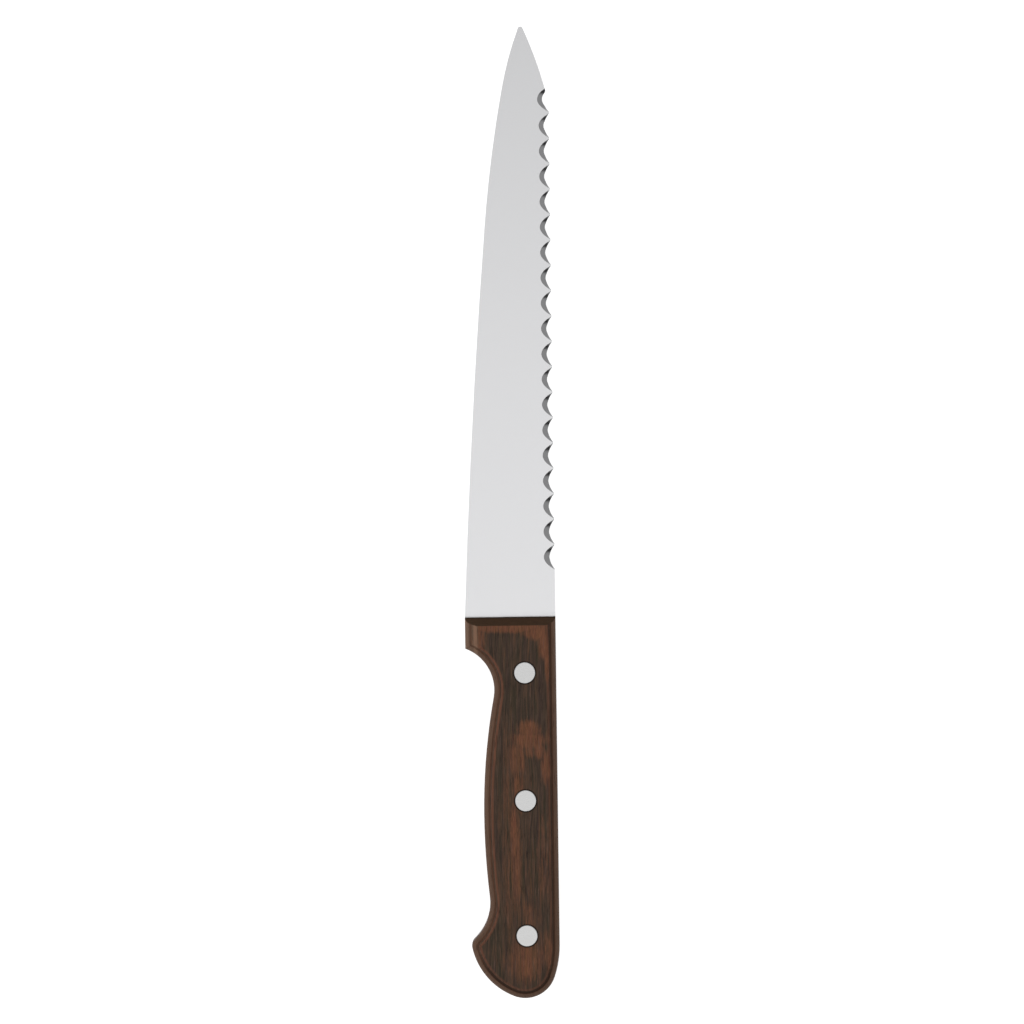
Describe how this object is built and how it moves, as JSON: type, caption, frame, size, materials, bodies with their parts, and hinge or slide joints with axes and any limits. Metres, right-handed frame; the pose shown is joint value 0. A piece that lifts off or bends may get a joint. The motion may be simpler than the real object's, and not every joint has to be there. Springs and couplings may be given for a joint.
{
  "type": "bread knife",
  "caption": "Full-tang bread knife with a scalloped stainless blade and a riveted wooden handle with a finger guard and a hooked pommel.",
  "frame": {"origin": "centre of the knife's bounding box, on the flat outer face of the rear scale that it rests on", "axes": "+Y from the handle to the blade's tip, +X from the plain side to the serrated side, +Z out of the front face"},
  "size_m": [0.0308, 0.3296, 0.017],
  "materials": {
    "blade_steel": "satin, ground along the length of the face",
    "handle_wood": "dark reddish-brown stained hardwood, satin lacquer",
    "rivet_metal": "brushed flush with the scale"
  },
  "bodies": {
    "root": {"blade": "blade_steel", "front_scale": "handle_wood", "rear_scale": "handle_wood", "front_rivet_female": "rivet_metal", "middle_rivet_female": "rivet_metal", "rear_rivet_female": "rivet_metal", "front_rivet_male": "rivet_metal", "middle_rivet_male": "rivet_metal", "rear_rivet_male": "rivet_metal"}
  },
  "joints": []
}
